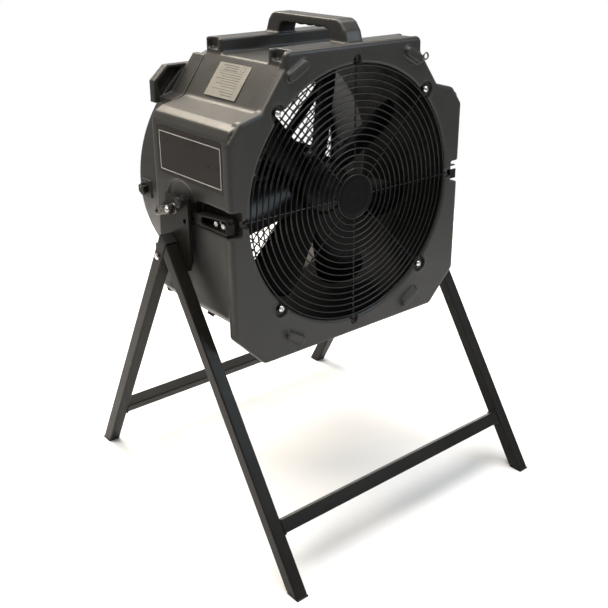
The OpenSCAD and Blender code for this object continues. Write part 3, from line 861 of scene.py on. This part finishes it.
def build_electrics():
    """The switch on the left pad with its knob, and the cord's gland on the right pad."""
    box = [soft_box((-PAD_X + 12.2, SWITCH_Y - 15.8, SWITCH_Z - 19.8),
                    (-PAD_X + 41.8, SWITCH_Y + 15.8, SWITCH_Z + 19.8), 2)]
    box.append(rod("x", SWITCH, 3.45, -PAD_X - 9.8, -PAD_X + 13, 0.5, 24))
    nut = [(4.6, -PAD_X - 0.6), (7.0, -PAD_X - 0.6), (7.0, -PAD_X + 1), (4.6, -PAD_X + 1)]
    box.append(lathe(nut, 6, "x", SWITCH, True))
    piece(mesh_object("speed_switch_box", box), BLACK, "housing", ("switch_box",), 30)
    nut = [(CORD_BORE_R, PAD_X + 4), (12.2, PAD_X + 4), (13, PAD_X + 3.2), (13, PAD_X + 0.6), (12.4, PAD_X),
           (CORD_BORE_R, PAD_X)]
    cap = [(CORD_BORE_R, PAD_X + 7.9), (7.2, PAD_X + 7.9), (8.6, PAD_X + 6.6), (8.9, PAD_X + 3.8),
           (CORD_BORE_R, PAD_X + 3.8)]
    neck = [(CORD_BORE_R, PAD_X), (8.8, PAD_X), (8.8, PAD_X - 12), (CORD_BORE_R, PAD_X - 12)]
    gland = [lathe(profile, sides, "x", SWITCH, True) for profile, sides in ((nut, 6), (cap, 40), (neck, 40))]
    piece(mesh_object("cord_inlet_gland", gland), BLACK, "housing", ("cord_gland",), 30)
    moulded_piece("lobed_knob", "switch_knob", BLACK, "speed_knob", 0.45, 5)
    mark = soft_box((-PAD_X - 12.35, SWITCH_Y - 0.5, SWITCH_Z + 2.0),
                    (-PAD_X - 11.7, SWITCH_Y + 0.5, SWITCH_Z + 8.2), 0.15)
    piece(mesh_object("knob_pointer_line", [mark]), PRINT, "speed_knob", (), 30)


# ---- labels

def label_slope():
    """From the label's own millimetres to the housing's: z stands off the left shoulder."""
    return Matrix.Translation((-212, 92, 183)) @ about("Y", -52.9)


def rule(start, end, low, high):
    """A printed bar on the label, from start to end along its rows and low to high across them."""
    return moved(soft_box((low, start, 0.5), (high, end, 0.72), 0.05, "z", 0.2), label_slope())


def build_label():
    """A blank rating label: plain bars stand in for its print."""
    corners = [(10.2, 0.2), (77.8, 0.2), (77.8, 95.8), (10.2, 95.8)]
    plate = moved(soft_prism(corners, 2.0, -0.3, 0.62, 0.1, 0.15, "z", 4, 2), label_slope())
    piece(mesh_object("rating_label_plate", [plate]), LABEL, "housing", ("rating_label",), 30)
    rules = [rule(12, 84, 60.5, 61.3), rule(12, 84, 26.0, 26.6)]
    for start, low, high, drop, lengths in ((34, 72.5, 74.3, 4.6, (46, 38, 42)),
                                            (14, 55.6, 56.9, 4.8, (66, 58, 70, 52, 64, 47)),
                                            (14, 20.6, 22.0, 5.0, (40, 34))):
        for k, length in enumerate(lengths):
            rules.append(rule(start, start + length, low - drop * k, high - drop * k))
    frame_bars = ((14, 26, 65, 65.7), (14, 26, 73.8, 74.5), (14, 14.7, 65, 74.5), (25.3, 26, 65, 74.5))
    rules += [rule(*bar) for bar in frame_bars]
    piece(mesh_object("rating_label_rules", rules), INK, "housing", (), 30)


def build_side_panels():
    """Plain dark panels with a pale pinstripe just inside the edge."""
    corners = [(17.2, 52.2), (230.8, 52.2), (230.8, 139.8), (17.2, 139.8)]
    sheet = soft_prism(corners, 3.0, HALF_W - 1.0, HALF_W + 0.6, 0.1, 0.2, "x", 5, 2)
    lines = ((26, 222, 60, 61.6), (26, 222, 130.4, 132), (26, 27.6, 60, 132), (220.4, 222, 60, 132))
    stripes = [soft_box((HALF_W + 0.3, y0, z0), (HALF_W + 0.72, y1, z1), 0.1, "x", 0.5)
               for y0, y1, z0, z1 in lines]
    for side, name in NAMED_SIDES:
        panel = mesh_object("side_panel_sheet_" + name, [moved(sheet, side)])
        piece(panel, VINYL, "housing", ("side_panel_" + name,), 30)
        border = mesh_object("side_panel_stripes_" + name, placed(stripes, side))
        piece(border, PRINT, "housing", (), 30)


# ---- tilt hardware

PIVOT_PLACE = (PIVOT_Y, 0)
INDEX_ANGLE = 149.5
INDEX_R = 38.8
STUD_R = 5.95
STUD_END = HALF_W + 31.7
PLATE_OUT = HALF_W + 15
PLATE_THICK = 6


def hex_bolt(y, z):
    """Flanged hex head on the arm's web, pointing outwards along +X."""
    web = HALF_W - 9
    head = [(0, web + 7.6), (5.2, web + 7.6), (6.4, web + 6.8), (6.6, web + 1.2), (0, web + 1.0)]
    flange = [(0, web + 2.2), (5.8, web + 1.9), (7.3, web + 0.8), (7.4, web), (0, web)]
    shank = rod("x", (y, z), 3.8, web - 3, web + 0.4, 0.3, 20)
    return [lathe(head, 6, "x", (y, z)), lathe(flange, 36, "x", (y, z)), shank]


def thread(x0, x1, r, centre, pitch=1.75):
    """A bar whose ribbed profile reads as a thread, along X."""
    root = r - 0.9
    profile = [(0, x0), (root, x0)]
    for k in range(max(1, int((x1 - x0 - 1) / pitch))):
        profile += [(root, x0 + 0.5 + k * pitch), (r - 0.05, x0 + 0.5 + (k + 0.5) * pitch)]
    profile += [(root, x1 - 0.2), (r - 1.4, x1), (0, x1)]
    return lathe(profile, 28, "x", centre)


def build_stud(side, name):
    """A tilt stud with a plain neck, a threaded end and a washer against the arm."""
    ribs = thread(HALF_W + 15.5, STUD_END, STUD_R, PIVOT_PLACE)
    neck = rod("x", PIVOT_PLACE, STUD_R, HALF_W + 2, HALF_W + 16)
    section = [(6.02, HALF_W + 5.1), (13.2, HALF_W + 5.1), (14, HALF_W + 5.8), (14, HALF_W + 8),
               (13.4, HALF_W + 8.6), (6.02, HALF_W + 8.6)]
    washer = lathe(section, 48, "x", PIVOT_PLACE, True)
    stud = mesh_object("tilt_stud_" + name, placed((ribs, neck, washer), side))
    piece(stud, ZINC, "housing", ("pivot_stud_" + name,), 30)


def build_lever(side, name):
    """A clamp lever: a grooved cast bar that droops to the rear, with a hex hub and a washer on the stud."""
    out = HALF_W + 15.3
    bore = 6.06
    section = [(bore, out), (10.0, out), (10.5, out + 0.5), (10.5, out + 1.6), (10.0, out + 2.2),
               (bore, out + 2.2)]
    washer = lathe(section, 48, "x", PIVOT_PLACE, True)
    section = [(bore, out + 2.0), (8.6, out + 2.0), (9, out + 2.6), (9, out + 13.6), (8.2, out + 14.6),
               (bore, out + 14.6)]
    nut = lathe(section, 6, "x", PIVOT_PLACE, True)
    droop = side @ about("X", -16, (0, PIVOT_Y, 0))
    block = soft_box((out + 4, PIVOT_Y, -8), (out + 15, PIVOT_Y + 46, 8), 1.4, "y", 1.4)
    grip = mesh_object("clamp_lever_grip_" + name, [moved(block, droop)])
    cuts = [soft_box((out + 7, PIVOT_Y + 10, 5), (out + 11.5, PIVOT_Y + 41, 12), 0.4)]
    cuts.append(rod("x", (PIVOT_Y + 37, 0), 3.6, out - 4, out + 30, 0.2, 24))
    cuts.append(rod("x", PIVOT_PLACE, bore, out, out + 30, 0.2, 32))
    combined(grip, [mesh_object("cut", [moved(cut, droop)]) for cut in cuts], "DIFFERENCE")
    grip = bevelled(grip, 0.35, 2, 40)
    joined(grip, [mesh_object("hub", placed((washer, nut), side))])
    piece(grip, CAST, "lever_" + name, ("clamp_lever_" + name,), 35)


def fluted_knob():
    """The index plunger's round knob, with fine flutes where it is widest."""
    loops = []
    for h, r in ((4, 7.6), (4.4, 8.6), (5.2, 9.5), (6.6, 9.9), (10.4, 9.9), (11.8, 9.3), (12.7, 7.9),
                 (13, 6.2), (12.4, 5.4)):
        loop = []
        for k in range(60):
            a = TAU * k / 60
            flute = 0.4 * (1 if (k // 2) % 2 else -1) if 9 < r else 0
            loop.append((PLATE_OUT + h, (r + flute - 0.3) * cos(a), (r + flute - 0.3) * sin(a)))
        loops.append(loop)
    return loft(loops)


def build_plunger(side, name):
    """An index plunger on the head plate: its threaded body with a nut, and the pin with its knob."""
    place = side @ about("X", INDEX_ANGLE, (0, PIVOT_Y, 0)) @ Matrix.Translation((0, PIVOT_Y + INDEX_R, 0))
    bore = 4.06
    inner = PLATE_OUT - PLATE_THICK
    sleeve = [(bore, inner), (6, inner), (6, PLATE_OUT), (bore, PLATE_OUT)]
    nut = [(bore, PLATE_OUT), (7.5, PLATE_OUT), (8, PLATE_OUT + 0.4), (8, PLATE_OUT + 2.5),
           (7.4, PLATE_OUT + 3), (bore, PLATE_OUT + 3)]
    body = [lathe(sleeve, 32, "x", (0, 0), True), lathe(nut, 6, "x", (0, 0), True)]
    piece(mesh_object("plunger_nut_" + name, placed(body, place)), BLACK, "front_frame",
          ("plunger_body_" + name,), 30)
    pin = [fluted_knob(), rod("x", (0, 0), 3.95, HALF_W + 5.6, PLATE_OUT + 5, 0.8, 28)]
    piece(mesh_object("plunger_knob_" + name, placed(pin, place)), BLACK, "pin_" + name,
          ("index_pin_" + name,), 35)


def build_eye_bolt():
    """The tether's eye bolt, standing square to the right shoulder."""
    lean = Matrix.Translation((184, 30, 220)) @ about("Y", 52.4)
    turns = np.linspace(-pi / 2, 1.5 * pi, 33)[:-1]
    eye = sweep([(6.2 * cos(t), 0, 28 + 6.2 * sin(t)) for t in turns], 1.75, 12, True)
    shank = rod("z", (0, 0), 2.4, 0, 22.4, 0.3, 20)
    collar = lathe([(0, 4), (6, 4), (6.6, 4.6), (6.6, 6.2), (6, 6.8), (0, 6.8)], 32, "z")
    bolt = mesh_object("tether_eye_bolt", placed((eye, shank, collar), lean))
    piece(bolt, DULL, "housing", ("eye_bolt",), 35)


def build_hardware():
    """Arms, studs, levers, head plates, plungers and bolts."""
    for side, name in NAMED_SIDES:
        arm = bevelled(copy_of("tilt_arm_" + name, "side_arm_" + name), 0.8, 2)
        piece(arm, POWDER, "housing", ("side_arm_" + name,), 40)
        build_stud(side, name)
        build_lever(side, name)
        plate = bevelled(copy_of("head_plate_edge_" + name, "head_plate_" + name), 0.8, 2)
        piece(plate, POWDER, "front_frame", ("head_plate_" + name,), 40)
        build_plunger(side, name)
    bolts = [moved(part, side) for side in BOTH_SIDES for y in BOLT_ROW for part in hex_bolt(y, BOLT_Z)]
    piece(mesh_object("arm_flange_bolts", bolts), ZINC, "housing", ("arm_bolts",), 25)
    build_eye_bolt()


# ---- stand

FRAMES = (("front", "front_frame"), ("rear", "rear_frame"))
TUBE_CORNER_R = 2.6


def weld_bead(corners, r=2.4):
    """A lumpy fillet of weld round a closed run of corner points."""
    path = []
    n = len(corners)
    for i in range(n):
        a, b = Vector(corners[i]), Vector(corners[(i + 1) % n])
        for k in range(12):
            path.append(a.lerp(b, k / 12))
    loops = []
    m = len(path)
    for i, p in enumerate(path):
        tangent = (path[(i + 1) % m] - path[i - 1]).normalized()
        side = tangent.orthogonal().normalized()
        other = tangent.cross(side)
        size = r * (1 + 0.16 * sin(i * 2.4) + 0.07 * sin(i * 5.3))
        angles = [TAU * k / 8 for k in range(8)]
        loops.append([p + size * (cos(a) * side + sin(a) * other) for a in angles])
    return loft(loops, False, True)


def brace_corners(node):
    """The four outer corners of a brace's section, in order, in millimetres."""
    co = {(round(v.co.y / MM, 1), round(v.co.z / MM, 1)) for v in frame["nodes"][node].data.vertices}
    centre = Vector((sum(c[0] for c in co) / len(co), sum(c[1] for c in co) / len(co)))
    far = sorted(co, key=lambda c: -(Vector(c) - centre).length)[:4]
    far.sort(key=lambda c: atan2(c[1] - centre.y, c[0] - centre.x))
    return far


def fold_bolt():
    """The right-hand fold bolt: a shank, a hex head inside the frame and a domed nut outside."""
    centre = (FOLD[1] / MM, FOLD[2] / MM)
    inner, outer = HALF_W + 6.1, HALF_W + 41.5
    shank = rod("x", centre, 3.95, HALF_W + 8, outer, 0.3, 24)
    head = [(0, inner), (6, inner), (7.6, HALF_W + 6.9), (7.9, HALF_W + 9), (0, HALF_W + 9)]
    nut = [(0, outer - 0.2), (6.9, outer - 0.2), (6.9, outer + 1.6), (5.6, outer + 3.3), (0, outer + 3.4)]
    return [shank, lathe(head, 6, "x", centre), lathe(nut, 6, "x", centre)]


def build_welds(brace, body):
    """A bead of weld round each end of a brace."""
    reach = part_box(brace)[1].x / MM - 0.6
    corners = brace_corners(brace)
    beads = [weld_bead([(end, y, z) for y, z in corners]) for end in (-reach, reach)]
    piece(mesh_object(brace + "_welds", beads, ROW_MM), POWDER, body, (), 60)


def build_stand():
    """Two frames of tube, their caps, the fold bolts and the welds."""
    for end, body in FRAMES:
        for node in (end + "_leg_left", end + "_leg_right", end + "_brace"):
            tube = bevelled(hull_of(node + "_tube", node), TUBE_CORNER_R, 4)
            piece(tube, POWDER, body, (node,), 40)
    for end, body in FRAMES:
        node = end + "_foot_caps"
        caps = bevelled(hull_of(node + "_rubber", node), 0.8, 2)
        piece(caps, RUBBER, body, (node,), 40)
    tops = bevelled(hull_of("leg_top_plugs", "leg_top_caps"), 0.8, 3)
    piece(tops, BLACK, "rear_frame", ("leg_top_caps",), 40)
    bolts = [moved(part, side) for side in BOTH_SIDES for part in fold_bolt()]
    bolts = mesh_object("fold_pivot_bolts", bolts, ROW_MM)
    piece(bolts, ZINC, "front_frame", ("fold_bolts",), 25)
    for end, body in FRAMES:
        build_welds(end + "_brace", body)


build_housing()
build_drum()
build_guards()
build_fan()
build_motor()
build_electrics()
build_label()
build_side_panels()
build_hardware()
build_stand()


# ---- stage, lights, camera

# The stage is in metres.
FLOOR_R = 1.9
FLOOR_POINTS = 96
WHITE = (1.0, 1.0, 1.0)
ROOM_GREY = (0.36, 0.355, 0.345)
OVERHEAD = (0.07, 0.073, 0.08)
BACKDROP_DIRECTION = (0.62, 0.78, 0)
CAMERA_PLACE = (-1.106, -1.352, 1.130)
CAMERA_TURN = Vector((1.87, -0.6851, 0.4564))
CAMERA_LENS = 53.46
CAMERA_SHIFT = (-0.0283, -0.0303)


def build_floor():
    """A round pale floor."""
    angles = [TAU * k / FLOOR_POINTS for k in range(FLOOR_POINTS)]
    edge = [(FLOOR_R * cos(a), FLOOR_R * sin(a), 0) for a in angles]
    floor = mesh_object("studio_floor", [(edge, [list(range(FLOOR_POINTS))])], AS_IS)
    mat = bpy.data.materials.new("pale_floor")
    mat.use_nodes = True
    shader = mat.node_tree.nodes["Principled BSDF"]
    shader.inputs["Base Color"].default_value = (0.86, 0.86, 0.86, 1)
    shader.inputs["Roughness"].default_value = 0.75
    floor.data.materials.append(mat)


def area_light(name, place, target, size, power, colour):
    """A square area light that faces a target."""
    data = bpy.data.lights.new(name, "AREA")
    data.shape = "RECTANGLE"
    data.size = size
    data.size_y = size
    data.energy = power
    data.color = colour
    lamp = in_scene(name, data)
    lamp.location = place
    lamp.rotation_euler = (Vector(target) - Vector(place)).to_track_quat("-Z", "Y").to_euler()


def studio_world():
    """A white backdrop low down behind the stand; the rest of the room is dimmer, and dark overhead."""
    world = bpy.data.worlds.new("studio")
    world.use_nodes = True
    nodes, links = world.node_tree.nodes, world.node_tree.links
    where = nodes.new("ShaderNodeTexCoord")
    split = nodes.new("ShaderNodeSeparateXYZ")
    links.new(where.outputs["Generated"], split.inputs["Vector"])
    toward = nodes.new("ShaderNodeVectorMath")
    toward.operation = "DOT_PRODUCT"
    toward.inputs[1].default_value = BACKDROP_DIRECTION
    links.new(where.outputs["Generated"], toward.inputs[0])
    round_room = ramp_between(nodes, 0.40, 0.72, ROOM_GREY, WHITE)
    links.new(toward.outputs["Value"], round_room.inputs["Fac"])
    upward = ramp_between(nodes, 0.24, 0.50, WHITE, OVERHEAD)
    links.new(split.outputs["Z"], upward.inputs["Fac"])
    both = nodes.new("ShaderNodeMix")
    both.data_type = "RGBA"
    both.blend_type = "MULTIPLY"
    both.inputs[0].default_value = 1.0
    links.new(round_room.outputs["Color"], both.inputs[6])
    links.new(upward.outputs["Color"], both.inputs[7])
    links.new(both.outputs[2], nodes["Background"].inputs["Color"])
    nodes["Background"].inputs["Strength"].default_value = 1.0
    bpy.context.scene.world = world


def place_camera():
    """The photograph's viewpoint. CAMERA_TURN is the turn from frame to view, as an axis times its angle."""
    data = bpy.data.cameras.new("camera")
    data.lens = CAMERA_LENS
    data.sensor_width = 36.0
    data.shift_x, data.shift_y = CAMERA_SHIFT
    camera = in_scene("camera", data)
    to_view = Matrix.Rotation(CAMERA_TURN.length, 3, CAMERA_TURN.normalized())
    turn = to_view.transposed() @ Matrix.Diagonal((1, -1, -1))
    camera.matrix_world = Matrix.Translation(CAMERA_PLACE) @ turn.to_4x4()
    bpy.context.scene.camera = camera
    bpy.context.scene.view_settings.view_transform = "Standard"


build_floor()
studio_world()
area_light("ceiling_light", (-0.2, 0.3, 3.4), (0, 0.1, 0), 4.2, 300, (1.0, 0.97, 0.93))
area_light("front_light", (1.7, -2.6, 2.0), (0, 0, 0.6), 0.9, 34, (0.74, 0.88, 1.0))
area_light("left_light", (-1.8, 0.8, 2.8), (0, 0, 0.8), 0.7, 25, (1.0, 0.84, 0.64))
area_light("back_light", (-0.1, 1.9, 2.6), (0, 0, 0.8), 0.9, 50, (1.0, 0.88, 0.72))
place_camera()

bpy.context.view_layer.update()
